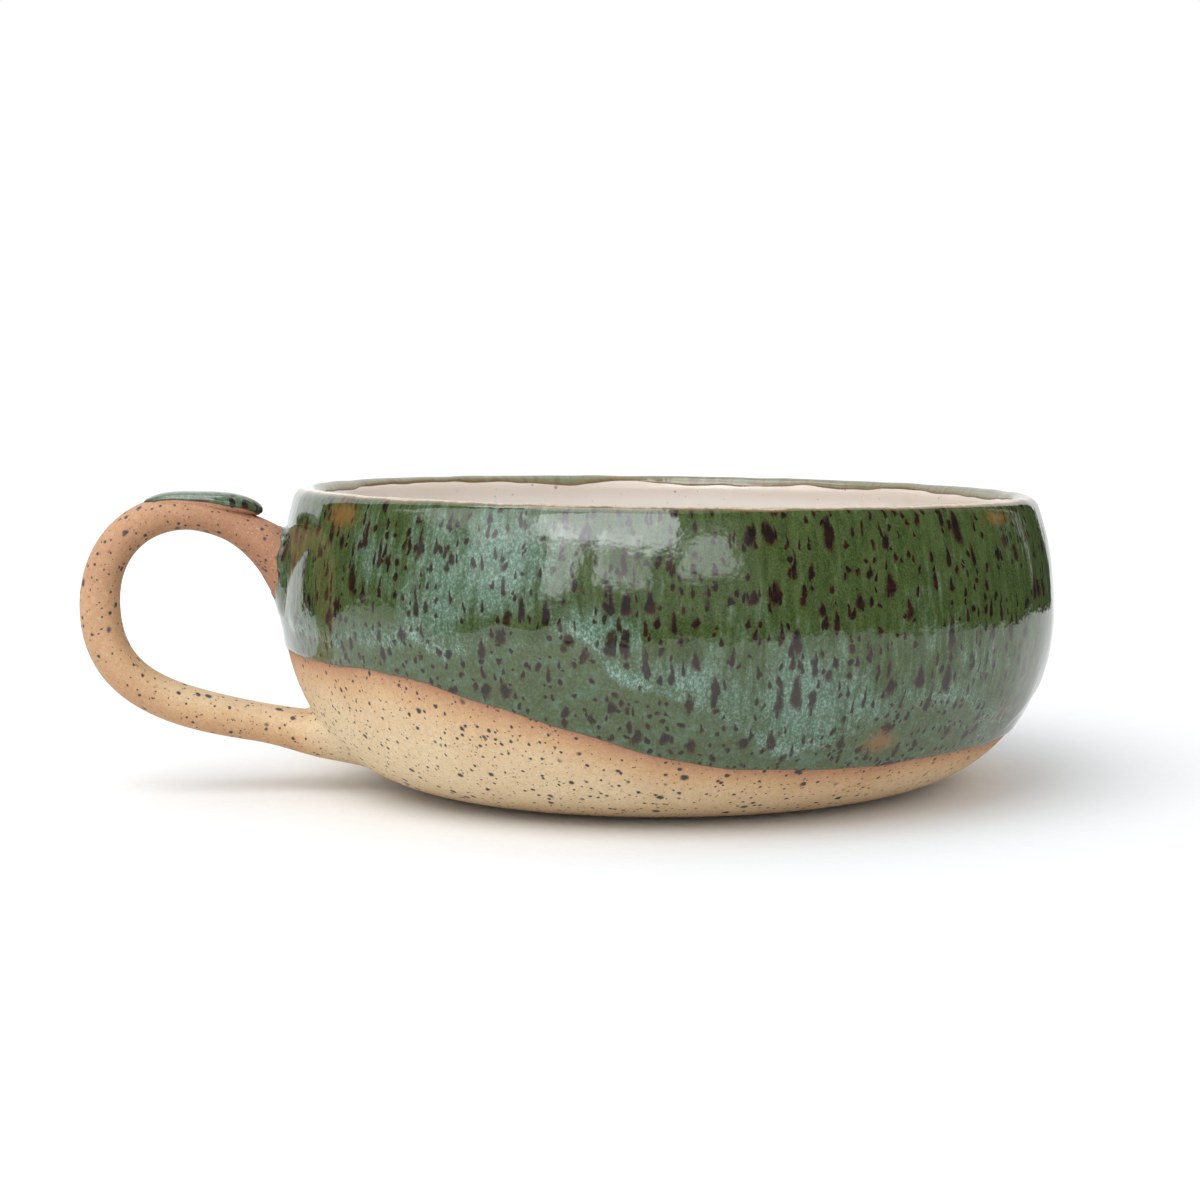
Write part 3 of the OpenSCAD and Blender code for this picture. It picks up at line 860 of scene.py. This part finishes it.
def green_finish(name, colours):
    """Running green glaze.

    It is olive with milky teal clouds of fine crystals and dark drips drawn down the wall. It is sage
    where it lies thin above the dip line, and brown where it breaks over the rim.
    """
    finish = Finish(name)
    flow = finish.field("flow", "Vector")
    edge = finish.field("edge")
    above = finish.field("above")
    crest = finish.field("crest")
    running = above.step(-1.0, 1.6)
    streak = finish.noise(finish.stretched(flow, (1.0, 1.0, 0.22)), 0.8, 3, 0.6)
    hair = finish.noise(finish.stretched(flow, (1.0, 1.0, 0.16)), 2.6, 2, 0.6)
    large = finish.noise(finish.stretched(flow, (1.0, 1.0, 0.6)), 0.10, 3, 0.55, 0.6)
    grain = finish.noise(flow, 3.4, 2, 0.7)
    stipple = finish.noise(finish.stretched(flow, (1.0, 1.0, 0.8)), 2.3, 2, 0.75)
    milk = finish.field("cloud") + (streak - 0.5) * 1.5 + (large - 0.5) * 1.4
    cloud = milk.step(0.10, 1.08)
    base = finish.mix((streak * 0.45 + grain * 0.55).step(0.36, 0.64), colours.olive, colours.moss)
    mottle = finish.noise(flow, 0.5, 3, 0.7)
    thin_coat = finish.mix(grain.step(0.3, 0.7) * 0.8, colours.sage, colours.moss)
    thin_coat = finish.mix(mottle.step(0.50, 0.72) * 0.18, thin_coat, colours.umber)
    thin_coat = finish.mix((1 - mottle).step(0.46, 0.70) * 0.45, thin_coat, colours.teal)
    base = finish.mix(1 - running, base, thin_coat)
    # The running coat piles up pale just above its ends
    ends = above + (streak - 0.5) * 3.2
    thick_end = (large + (streak - 0.5) * 0.9).step(0.30, 0.60)
    pile = ends.step(-1.4, 0.5) * (1 - ends.step(0.5, 4.4))
    pile = pile * finish.field("pile") * (0.4 + 0.6 * thick_end)
    milky = (cloud * (0.22 + 0.78 * running)).most(pile)
    base = finish.mix(milky * (0.34 + 0.50 * hair), base, colours.teal)
    dots = stipple.step(0.38, 0.80)
    frosted = milky * 0.50 + pile * 0.30 + 0.05 + 0.07 * (1 - running)
    base = finish.mix(dots * frosted, base, colours.frost)
    patchy = finish.noise(flow, 0.12, 1)
    reach = 0.34 + 0.66 * above.step(-2.0, 5.0)
    flow_x, flow_y, flow_up = finish.parts(flow)
    around = flow_y.turn_from(flow_x) * FLOW_RADIUS
    unrolled = finish.node("ShaderNodeCombineXYZ", None, {0: around, 1: flow_up})
    warp = finish.noise_vector(flow, 0.42)
    warp = finish.stretched(finish.moved(warp, (-0.5, -0.5, -0.5)), (1.3, 2.4, 0.0))
    bent = finish.moved(unrolled, warp)
    ragged = (hair - 0.5) * 0.7 + (grain - 0.5) * 0.4
    thinner = 1 - running
    dark = 0.0
    for shift, across, along, usual, more, wide, tall, strength in DRIP_LAYERS:
        share = usual + more * thinner
        moved = finish.moved(bent, shift)
        layer = drips(finish, moved, across, along, share, wide, tall, reach, patchy, ragged)
        dark = (layer * strength).most(dark)
    base = finish.mix(dark.step(0.02, 0.45) * 0.70, base, colours.umber)
    iron = finish.mix(mottle.step(0.44, 0.66), colours.drip, colours.russet)
    base = finish.mix(dark.step(0.24, 0.70) * (0.94 - 0.08 * thinner - 0.24 * milky), base, iron)
    worn = finish.noise(flow, 0.9, 3, 0.6)
    bare = crest + (finish.noise(flow, 0.22, 2) - 0.5) * 0.9 + (worn - 0.5) * 0.5
    # The band inside lies thin over the liner, so it is pale, and it ends in brown
    inside = crest.step(0.0, 0.7) * (1 - crest.step(5.0, 6.0))
    milk_green = finish.mix(worn.step(0.4, 0.8), colours.straw, colours.frost)
    base = finish.mix(inside * 0.34, base, milk_green)
    inside_end = inside * (1 - edge.step(0.2, 1.2)) * worn.step(0.36, 0.60)
    base = finish.mix(inside_end * 0.7, base, colours.rust)
    # Brown where the coat is thin: over the crest, in a few worn spots and along the dip line
    base = finish.mix(bare.step(-1.45, -0.95) * (1 - bare.step(-0.3, 0.5)) * 0.7, base, colours.rust)
    pale_line = bare.step(-0.95, -0.65) * (1 - bare.step(-0.45, 0.1))
    pale_line = pale_line * (0.6 + 0.4 * worn.step(0.35, 0.6))
    base = finish.mix(pale_line * 0.9, base, colours.straw)
    spot = (finish.field("thin") + (worn - 0.5) * 1.3 + (grain - 0.5) * 0.5).step(0.15, 1.1)
    base = finish.mix(spot * 0.70, base, colours.rust)
    edge_line = 1 - edge.step(0.08, 0.60)
    base = finish.mix(edge_line * 0.4, base, colours.umber)
    rough = 0.06 + dark * 0.05 + edge_line * 0.3
    swell = finish.noise(finish.stretched(flow, (1.0, 1.0, 0.7)), 0.15, 2) * 1.5
    normal = finish.bump(swell + finish.noise(flow, 0.45, 2) + grain * 0.03, 0.00006)
    return finish.close(base, rough, normal, IOR=1.5)


def cream_finish(name, colours):
    """Pale liner: milky cream, blushing where it thins towards the rim, with a few sunken grains."""
    finish = Finish(name)
    place = finish.place()
    cloud = finish.noise(place, 0.06, 3)
    thin = 1 - finish.field("edge").step(0.0, 5.0)
    base = finish.mix((cloud * 0.5 + thin * 0.6).step(0.25, 1.05), colours.cream, colours.blush)
    patchy = finish.noise(finish.moved(place, (3.0, 9.0, 27.0)), 0.12, 1)
    grains = specks(finish, place, 0.40, 0.34, 0.09, 0.21, patchy)
    grains = grains.most(specks(finish, place, 0.8, 0.36, 0.09, 0.24, patchy) * 0.7)
    base = finish.mix(grains * 0.6, base, (0.12, 0.085, 0.065))
    normal = finish.bump(finish.noise(place, 0.5, 2), 0.00004)
    return finish.close(base, 0.26 + grains * 0.1, normal, IOR=1.5)


def slip_finish(name, colours):
    """Slip: the clay's own colour, smooth and fine."""
    finish = Finish(name)
    place = finish.place()
    cloud = finish.noise(place, 0.4, 3)
    base = finish.mix(cloud, colours.golden, colours.terracotta)
    return finish.close(base, 0.75 + cloud * 0.1, finish.bump(cloud, 0.00005), IOR=1.45)


# Material of each slot: its name and what makes it
FINISHES = {
    "stoneware_clay": ("speckled_clay", clay_finish),
    "green_glaze": ("running_green_glaze", green_finish),
    "pale_glaze": ("cream_liner_glaze", cream_finish),
    "joint_slip": ("joint_slip", slip_finish),
}


# Pieces

class MugOperator:
    """What the operators share: sizes, the wall's line, the clay's flush with its painted shade and the
    making of a piece.
    """

    bl_options = {"REGISTER", "UNDO"}

    def execute(self, context):
        """Reads the sizes and makes the operator's pieces."""
        scene = context.scene
        self.bowl = scene.soup_mug_bowl
        self.handle = scene.soup_mug_handle
        self.glaze = scene.soup_mug_glaze
        self.colours = scene.soup_mug_colours
        self.wall = WallLine(self.bowl)
        self.make()
        return {"FINISHED"}

    def piece(self, name, patches, slot, node):
        """Makes a piece for one node. Its slot's material is made the first time that it is needed."""
        finish_name, maker = FINISHES[slot]
        finish = bpy.data.materials.get(finish_name) or maker(finish_name, self.colours)
        make_piece(name, patches, self.bowl, [node], finish)

    def flushed_and_shaded(self, points):
        """Flush of the bowl's clay: strong at the dip line, fading below, and a darker, more golden foot
        that is partly toasting and partly painted shade.
        """
        turn = np.arctan2(points[..., 1], points[..., 0])
        run = self.wall.run_at(points[..., 2])
        order = np.linspace(-math.pi, math.pi, 721)
        edge = np.interp(turn, order, dip_edge(self.wall, self.glaze, order))
        below = (edge - run) * PER_MM
        pale, strongest, fade = 0.06, 0.92, 4.0
        # Painted shade at the foot: the lowest millimetres are pushed darker and more golden, partly for
        # toasted clay and partly for the shade under the bowl
        foot_toast_and_shade, foot_top, foot_low = 0.20, 0.008, 0.0005
        toasted_and_shaded = foot_toast_and_shade * smooth(points[..., 2], foot_top, foot_low)
        return pale + strongest * np.exp(-np.maximum(below, 0) / fade) + toasted_and_shaded


class SOUP_MUG_OT_bowl(MugOperator, bpy.types.Operator):
    """Throw the bowl: its wall's line turned about the axis, closed by a base with turning marks"""

    bl_idname = "soup_mug.bowl"
    bl_label = "Bowl"

    def make(self):
        columns, rows, base_rows = 320, 190, 40
        turn = full_turn(columns)
        run = np.linspace(0, self.wall.end - 0.002, rows)[:, None]
        shell = self.wall.raised(np.broadcast_to(run, (rows, columns)), turn, 0.0)
        radius = np.linspace(0.0015, self.bowl.foot_radius, base_rows, endpoint=False)[:, None]
        mark = self.bowl.ring_depth * (1 - np.cos(TURN * radius / self.bowl.ring_step)) / 2
        mark = mark * smooth(self.bowl.foot_radius - radius, 0.001, 0.005)
        base = np.stack(np.broadcast_arrays(radius * np.cos(turn), radius * np.sin(turn), mark), -1)
        points = np.concatenate([base, shell])
        patch = Patch(
            points,
            {"flush": self.flushed_and_shaded(points)},
            first_pole=(0, 0, 0),
            last_pole=(0, 0, self.bowl.floor),
        )
        self.piece("bowl_clay", [patch], "stoneware_clay", "bowl")


class SOUP_MUG_OT_handle(MugOperator, bpy.types.Operator):
    """Pull the handle: an oval section carried along the loop, smoothed on to the wall at both roots"""

    bl_idname = "soup_mug.handle"
    bl_label = "Handle"

    def make(self):
        loop = Loop(self.handle, self.wall)
        points, runs, turn = rooted_loop(loop, self.wall, self.handle)
        share = np.interp(runs, loop.run, loop.share)
        flush = 1.0 - 0.20 * smooth(share, 0.02, 0.22) - 0.56 * smooth(share, 0.25, 0.85)
        # Painted shade: the arm's underside is made darker and more orange than its top
        flush = flush + smooth(share, 0.45, 0.7) * (0.36 * smooth(-np.cos(turn), -0.7, 0.6) - 0.06)
        merged = self.flushed_and_shaded(points)
        blend = smooth(self.wall.distance(points)[0], 0.0005, 0.007)
        flush = np.where(share > 0.5, merged + (flush - merged) * blend, flush)
        ends = [points[0].mean(0), points[-1].mean(0)]
        patch = Patch(points[:, ::-1], {"flush": flush[:, ::-1]}, first_pole=ends[0], last_pole=ends[1])
        self.piece("handle_clay", [patch], "stoneware_clay", "handle")


def pebble(level, turn):
    """Flattened pebble of clay pressed on to the crown: a superellipsoid on the thumb rest's own box.

    Each coordinate is the half size times the sines and cosines of two angles raised to 2/2.6. The tip
    droops with the cube of the distance from the middle, and the tail with its fourth power, into the
    loop.
    """

    def curve(value):
        return np.sign(value) * np.abs(value) ** (2 / 2.6)

    # How far the tail and the tip go past the solid's box, and how far each droops
    tail, tip = 0.0030, 0.0008
    tail_droop, tip_droop = 0.0030, 0.0013
    narrower, taper = 0.0006, 0.06
    middle = (PAD_LOW.x - tail + PAD_HIGH.x + tip) / 2
    half_length = (PAD_HIGH.x + tip - PAD_LOW.x + tail) / 2
    half_width = (PAD_HIGH.y - PAD_LOW.y) / 2 - narrower
    half_thick = (PAD_HIGH.z - PAD_LOW.z) / 2
    x = curve(np.cos(level)) ** np.where(np.cos(turn) > 0, 0.75, 1.0) * curve(np.cos(turn))
    y = curve(np.cos(level)) * curve(np.sin(turn)) + 0 * x
    z = curve(np.sin(level)) + 0 * x
    droop = np.where(x > 0, tip_droop * np.abs(x) ** 3, tail_droop * np.abs(x) ** 4)
    width = half_width * (1 - taper + taper * x)
    height = (PAD_LOW.z + PAD_HIGH.z) / 2 + half_thick * z - droop
    return np.stack([middle + half_length * x, width * y, height], -1)


class SOUP_MUG_OT_thumb_rest(MugOperator, bpy.types.Operator):
    """Press the thumb rest on to the crown, and dab its top with green glaze"""

    bl_idname = "soup_mug.thumb_rest"
    bl_label = "Thumb rest"

    def make(self):
        turn = full_turn(96)
        level = np.linspace(-math.pi / 2, math.pi / 2, 50)[1:-1, None]
        points = pebble(level, turn)
        poles = pebble(np.array([-math.pi / 2, math.pi / 2]), np.zeros(2))
        flush = np.full(points.shape[:2], 0.85)
        patch = Patch(points, {"flush": flush}, first_pole=poles[0], last_pole=poles[1])
        self.piece("thumb_rest_clay", [patch], "stoneware_clay", "thumb_rest")

        # The dab covers the pebble's top from a wavering edge, which lies lowest at the tip
        back = (1 - np.cos(turn)) / 2
        lowest = -0.15 + 0.30 * back + 0.61 * back ** 2
        lowest = lowest + waves(turn, 0, (0.05, 3, 0, 0.5), (0.04, 7, 0, 1.0))
        highest = math.pi / 2 - 0.02
        level = lowest + (highest - lowest) * np.linspace(0, 1, 40)[:, None] ** 1.5
        skin = pebble(level, turn)
        out = surface_normals(skin)
        climbed = run_along(skin)
        thicker = 0.0001
        thick = (self.glaze.coat + thicker) * rounded(climbed, self.glaze.edge_round)
        raised = skin + thick[..., None] * out
        under = skin - self.glaze.sink * out
        grid = np.concatenate([under[::-1], raised])
        far = np.concatenate([climbed[::-1], climbed]) * PER_MM
        fields = small_coat(laid_out(grid[..., 1], grid[..., 0]), far, above=-1.0, cloud=1.5)
        cap = Patch(grid, fields, first_pole=under[-1].mean(0), last_pole=raised[-1].mean(0))
        self.piece("thumb_rest_dab", [cap], "green_glaze", "thumb_rest_glaze")


class SOUP_MUG_OT_slips(MugOperator, bpy.types.Operator):
    """Lay the slip in the three joints: thin lenses between the clay pieces"""

    bl_idname = "soup_mug.slips"
    bl_label = "Slip"

    def lens(self, middle, across, along, out, half_across, half_along, thick):
        """Closed lens: an oval disc whose upper side swells by 1 - r^2 and whose lower side is flat."""
        turn = full_turn(48)
        share = np.linspace(0.08, 1, 14)[:, None]
        flat = (
            middle
            + (half_across * share * np.cos(turn))[..., None] * across
            + (half_along * share * np.sin(turn))[..., None] * along
        )
        high = flat + (thick * (1 - share ** 2) * np.ones_like(turn))[..., None] * out
        grid = np.concatenate([flat[:-1], high[::-1]])
        return Patch(grid, first_pole=middle, last_pole=middle + thick * out)

    def make(self):
        side = np.array([0.0, 1.0, 0.0])
        half_across, sunk = 0.0055, 0.0006
        spans = (
            ("upper_joint_slip", self.handle.upper_root, 0.0065),
            ("lower_joint_slip", self.handle.lower_root, 0.0038),
        )
        for node, height, half_along in spans:
            run = self.wall.run_at(height)
            radius, level, out_radius, out_height = self.wall.at(run)
            out = np.array([-out_radius, 0, out_height])
            middle = np.array([-radius, 0, level]) - sunk * out
            along = np.cross(out, side)
            patch = self.lens(middle, side, along, out, half_across, half_along, self.glaze.slip)
            self.piece(node + "_layer", [patch], "joint_slip", node)
        low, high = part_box("thumb_rest_slip")
        middle = np.array([(low.x + high.x) / 2, 0.0, low.z])
        out = np.array([0.0, 0.0, -1.0])
        half_across, half_along = 0.003, 0.005
        along = np.cross(out, side)
        patch = self.lens(middle, side, along, out, half_across, half_along, self.glaze.slip / 2)
        self.piece("thumb_rest_slip_layer", [patch], "joint_slip", "thumb_rest_slip")


class SOUP_MUG_OT_green_glaze(MugOperator, bpy.types.Operator):
    """Dip the bowl in green glaze: from the dip line over the rim, with a collar on the upper root"""

    bl_idname = "soup_mug.green_glaze"
    bl_label = "Green glaze"

    def coat(self):
        """The coat's two skins, joined into a ring.

        One is raised off the clay by the coat's thickness, which is rounded off at both edges, and the
        other is sunk under the clay.
        """
        columns = 384
        turn = full_turn(columns)
        start = dip_edge(self.wall, self.glaze, turn)
        band = closed_curve(turn, *np.array(INSIDE_BAND).T) / PER_MM
        end = self.wall.crest + band + waves(
            turn, 0, (0.00012, 19, 0, 1.2), (0.00007, 41, 0, 0.2), (0.00004, 67, 0, 2.0)
        )
        close = np.array([0, 0.06, 0.15, 0.28, 0.45, 0.65, 0.9, 1.25, 1.7])[:, None] / PER_MM
        share = np.linspace(0, 1, 130)[1:-1, None]
        inner = start + close[-1] + (end - start - 2 * close[-1]) * share
        run = np.concatenate([start + close, inner, end - close[::-1]])
        from_start, from_end = run - start, end - run
        ends, pale = run_ends(turn)
        above = from_start - ends
        thick = self.glaze.coat + self.glaze.run_coat * smooth(above, -0.0015, 0.0022)
        # A low bead just above the dip line
        bead, bead_place, bead_width = 0.00005, 0.0012, 0.0008
        thick = thick + bead * np.exp(-((from_start - bead_place) / bead_width) ** 2)
        thick = thick + waves(
            turn, run, (0.00003, 17, 300, 1.0), (0.00003, 29, -200, 2.0), (0.00002, 41, 150, 0.4)
        ) * smooth(from_start, 0.001, 0.004)
        half_roll = math.pi * self.bowl.rim_wall / 4
        thinner_inside = 0.0002
        thick = thick - thinner_inside * smooth(run, self.wall.crest, self.wall.crest + half_roll)
        for from_edge in (from_start, from_end):
            thick = thick * rounded(from_edge, self.glaze.edge_round)
        outer = self.wall.raised(run, turn, thick)
        back = np.linspace(1, 0, 60)[:, None]
        back_run = start + (end - start) * back
        under = self.wall.raised(back_run, turn, -self.glaze.sink)
        runs = np.concatenate([run, back_run])
        turns = np.broadcast_to(turn, runs.shape)
        height = self.wall.at(runs)[1]
        fields = {
            "flow": laid_out(turns * FLOW_RADIUS / PER_MM, runs),
            "edge": np.minimum(runs - start, end - runs) * PER_MM,
            "above": (runs - start - ends) * PER_MM,
            "pile": np.broadcast_to(pale, runs.shape),
            "crest": (runs - self.wall.crest) * PER_MM,
            "cloud": blobs(turns, height, CLOUDS),
            "thin": blobs(turns, height, THIN_SPOTS),
        }
        return Patch(np.concatenate([outer, under]), fields, ring=True)

    def collar(self):
        """The coat that climbs the upper root: the root's own skin raised, with a rounded upper edge."""
        loop = Loop(self.handle, self.wall)
        points, _, turn = rooted_loop(loop, self.wall, self.handle, columns=120, rows=700)
        out = -surface_normals(points)
        climbed = run_along(points)
        apart = self.wall.distance(points)[0]
        reach = self.glaze.collar + waves(turn, 0, (0.00025, 3, 0, 0.0), (0.00018, 8, 0, 1.0))
        left = reach - apart
        rows = int(np.argmax((left < 0).all(1))) + 1
        at = np.arange(len(turn))
        # Each line of the strip is cut where it reaches the collar's upper edge
        stop = np.argmax(left < 0, axis=0)
        share = np.linspace(0, 1, 36)[:, None]
        index = share * stop
        low = np.floor(index).astype(int)
        part = (index - low)[..., None]
        high = np.minimum(low + 1, rows)

        def picked(values):
            return values[low, at] * (1 - part) + values[high, at] * part

        skin, way = picked(points), picked(out)
        way /= np.linalg.norm(way, axis=-1, keepdims=True)
        distance = picked(climbed[..., None])[..., 0]
        to_edge = distance[-1] - distance
        near_wall = smooth(picked(apart[..., None])[..., 0], 0.0016, 0.0002)
        thinnest = 0.00022
        coat = thinnest + (self.glaze.coat + self.glaze.run_coat - thinnest) * near_wall
        raised = skin + (coat * rounded(to_edge, self.glaze.edge_round))[..., None] * way
        under = skin - self.glaze.sink * way
        grid = np.concatenate([raised, under[::-1]])
        far = np.concatenate([to_edge, to_edge[::-1]]) * PER_MM
        fields = small_coat(laid_out(grid[..., 1], grid[..., 2]), far, above=8.0, cloud=0.3)
        fields = {name: values[:, ::-1] for name, values in fields.items()}
        return Patch(grid[:, ::-1], fields, ring=True)

    def make(self):
        self.piece("green_coat", [self.coat(), self.collar()], "green_glaze", "outer_glaze")


class SOUP_MUG_OT_liner(MugOperator, bpy.types.Operator):
    """Pour the pale liner: a coat from under the green band down to the middle of the floor"""

    bl_idname = "soup_mug.liner"
    bl_label = "Liner"

    def make(self):
        rows, columns = 150, 300
        turn = full_turn(columns)
        start = self.wall.crest + 0.0003
        end = self.wall.end - 0.002
        run = (start + (end - start) * np.linspace(0, 1, rows) ** 1.15)[:, None]
        thick = self.glaze.liner * rounded(run - start, self.glaze.edge_round)
        uneven = waves(turn, run, (0.00002, 9, 200, 1.0), (0.00002, 15, -120, 2.0))
        thick = thick + uneven * smooth(end - run, 0.010, 0.045)
        run = np.broadcast_to(run, (rows, columns))
        outer = self.wall.raised(run, turn, thick)
        under = self.wall.raised(run, turn, -self.glaze.sink)
        grid = np.concatenate([under[::-3][:-1], outer])
        far = np.concatenate([run[::-3][:-1], run]) - start
        floor = self.bowl.floor
        patch = Patch(
            grid,
            {"edge": (far - self.glaze.band) * PER_MM},
            first_pole=(0, 0, floor - self.glaze.sink),
            last_pole=(0, 0, floor + self.glaze.liner),
        )
        self.piece("cream_liner", [patch], "pale_glaze", "inner_glaze")


def staged(name, points, faces, finish, reflected_only=False):
    """A stage mesh, which may show only in reflections."""
    mesh = bpy.data.meshes.new(name)
    mesh.from_pydata(points, [], faces)
    mesh.materials.append(finish)
    card = bpy.data.objects.new(name, mesh)
    bpy.context.scene.collection.objects.link(card)
    if reflected_only:
        for ray in ("camera", "diffuse", "shadow", "transmission", "volume_scatter"):
            setattr(card, "visible_" + ray, False)
    return card


class SOUP_MUG_OT_stage(bpy.types.Operator):
    """Set up the pale floor, the white surround, the dark room that the glaze reflects and the camera"""

    bl_idname = "soup_mug.stage"
    bl_label = "Stage"

    def execute(self, context):
        scene = context.scene
        stage = scene.soup_mug_stage
        scene.view_settings.view_transform = "Standard"
        world = bpy.data.worlds.new("white_surround")
        world.use_nodes = True
        sky = world.node_tree.nodes["Background"]
        sky.inputs["Color"].default_value = (1, 1, 1, 1)
        sky.inputs["Strength"].default_value = stage.daylight
        scene.world = world
        self.floor()
        self.room(stage)
        self.panels(stage)
        self.lights(scene, stage)
        self.camera(scene, stage)
        return {"FINISHED"}

    def floor(self):
        """Round pale floor."""
        finish = Finish("pale_floor")
        place = finish.place()
        grain = finish.noise(place, 0.4, 2)
        base = finish.mix(grain, (0.83, 0.845, 0.86), (0.86, 0.875, 0.89))
        away = finish.node("ShaderNodeVectorMath", {"operation": "LENGTH"}, {0: place}, "Value")
        lit = finish.mix(away.step(180, 600), (0.0, 0.0, 0.0), (0.16, 0.16, 0.16))
        glow = {"Emission_Color": lit, "Emission_Strength": 1.0}
        material = finish.close(base, 0.9, finish.bump(grain, 0.0001), IOR=1.3, **glow)
        turn = full_turn(96)
        radius = 3.0
        ring = np.stack([radius * np.cos(turn), radius * np.sin(turn), 0 * turn], 1)
        staged("floor", ring, [list(range(len(turn)))], material)

    def room(self, stage):
        """Dark room round the front that only the gloss shows, with soft-edged windows in it.

        A piece of a cylinder stands on the floor and narrows upwards. Its glow is dark, and each window
        adds light that fades out at its four sides.
        """
        finish = Finish("dark_room")
        material = finish.shine(finish.field("glow", "Color"), 1.0)
        radius, height, rows, columns = 0.42, 1.6, 90, 240
        up = np.linspace(0, 1, rows)[:, None] ** 1.6
        # Its two sides in degrees from the front
        lift = smooth(up, 0, 0.25)
        left, right = -124 + 14 * lift, 144 - 8 * lift
        place = left + (right - left) * np.linspace(0, 1, columns)
        # Its foot is raised a little on the left
        raised = 0.05 * np.exp(-((place + 80) / 16) ** 2)
        level = raised + (height - raised) * up
        bright = 0.02 + 0 * place
        # Width of a window's soft edges: degrees at its sides, metres at its foot and head
        soft_side, soft_foot, soft_head = 3.0, 0.03, 0.04
        for start, end, low, high, strength in WINDOWS:
            soft = min(soft_side, (end - start) / 2)
            inside = smooth(place, start, start + soft) * smooth(-place, -end, soft - end)
            inside = inside * smooth(level, low, low + soft_foot)
            inside = inside * smooth(-level, -high, soft_head - high)
            bright = bright + strength * inside
        turn = np.radians(place) - math.pi / 2 - stage.azimuth
        points = np.stack([radius * np.cos(turn), radius * np.sin(turn), level], -1).reshape(-1, 3)
        first = (np.arange(rows - 1)[:, None] * columns + np.arange(columns - 1)).ravel()
        faces = np.stack([first, first + 1, first + columns + 1, first + columns], 1).tolist()
        card = staged("dark_room", points, faces, material, True)
        cool_white = [0.96, 1.0, 1.04, 1.0]
        glow = (bright.reshape(-1, 1) * cool_white).astype(np.float32)
        carried = card.data.attributes.new("glow", "FLOAT_COLOR", "POINT")
        carried.data.foreach_set("color", glow.ravel())

    def panels(self, stage):
        """Two bright panels that only the gloss shows: one above the rim, one upright on the left."""
        cos, sin = math.cos(stage.azimuth), math.sin(stage.azimuth)
        turned = np.array([[cos, -sin, 0], [sin, cos, 0], [0, 0, 1]])
        cool_white = (0.97, 1.0, 1.02)
        for name, strength, corners in PANELS:
            material = Finish(name).shine(cool_white, strength)
            staged(name, np.array(corners) @ turned, [[0, 1, 2, 3]], material, True)

    def lights(self, scene, stage):
        """One large soft light above and in front, to the left."""
        light = bpy.data.lights.new("softbox", "AREA")
        light.shape = "SQUARE"
        light.size = 0.9
        light.energy = stage.softbox
        lamp = bpy.data.objects.new("softbox", light)
        lamp.location = (-0.5, -0.45, 0.95)
        lamp.rotation_euler = (Vector((0, 0, 0.02)) - lamp.location).to_track_quat("-Z", "Y").to_euler()
        lamp.visible_glossy = False
        scene.collection.objects.link(lamp)

    def camera(self, scene, stage):
        """Camera at the photograph's place, looking along its line of sight."""
        data = bpy.data.cameras.new("camera")
        data.sensor_width = 36
        data.lens = stage.lens
        data.clip_start = 0.01
        camera = bpy.data.objects.new("camera", data)
        way = Vector((
            math.sin(stage.azimuth) * math.cos(stage.pitch),
            math.cos(stage.azimuth) * math.cos(stage.pitch),
            -math.sin(stage.pitch),
        ))
        turn = way.to_track_quat("-Z", "Y").to_matrix() @ Matrix.Rotation(stage.roll, 3, "Z")
        camera.location = stage.camera_place
        camera.rotation_euler = turn.to_euler()
        scene.collection.objects.link(camera)
        scene.camera = camera


OPERATORS = (
    SOUP_MUG_OT_stage,
    SOUP_MUG_OT_bowl,
    SOUP_MUG_OT_handle,
    SOUP_MUG_OT_thumb_rest,
    SOUP_MUG_OT_slips,
    SOUP_MUG_OT_green_glaze,
    SOUP_MUG_OT_liner,
)


class SOUP_MUG_PT_panel(bpy.types.Panel):
    """Lists the mug's pieces and their sizes."""

    bl_label = "Soup mug"
    bl_idname = "SOUP_MUG_PT_panel"
    bl_space_type = "VIEW_3D"
    bl_region_type = "UI"
    bl_category = "Soup mug"

    def draw(self, context):
        for operator in OPERATORS:
            self.layout.operator(operator.bl_idname)
        for name, group in SETTINGS.items():
            box = self.layout.box()
            for key in group.__annotations__:
                box.prop(getattr(context.scene, name), key)


CLASSES = (*SETTINGS.values(), *OPERATORS, SOUP_MUG_PT_panel)


def register():
    for cls in CLASSES:
        bpy.utils.register_class(cls)
    for name, group in SETTINGS.items():
        setattr(bpy.types.Scene, name, PointerProperty(type=group))


def unregister():
    for name in SETTINGS:
        delattr(bpy.types.Scene, name)
    for cls in reversed(CLASSES):
        bpy.utils.unregister_class(cls)


def main():
    """Makes the stage and every piece."""
    register()
    for operator in OPERATORS:
        group, name = operator.bl_idname.split(".")
        getattr(getattr(bpy.ops, group), name)()


if __name__ == "__main__":
    main()
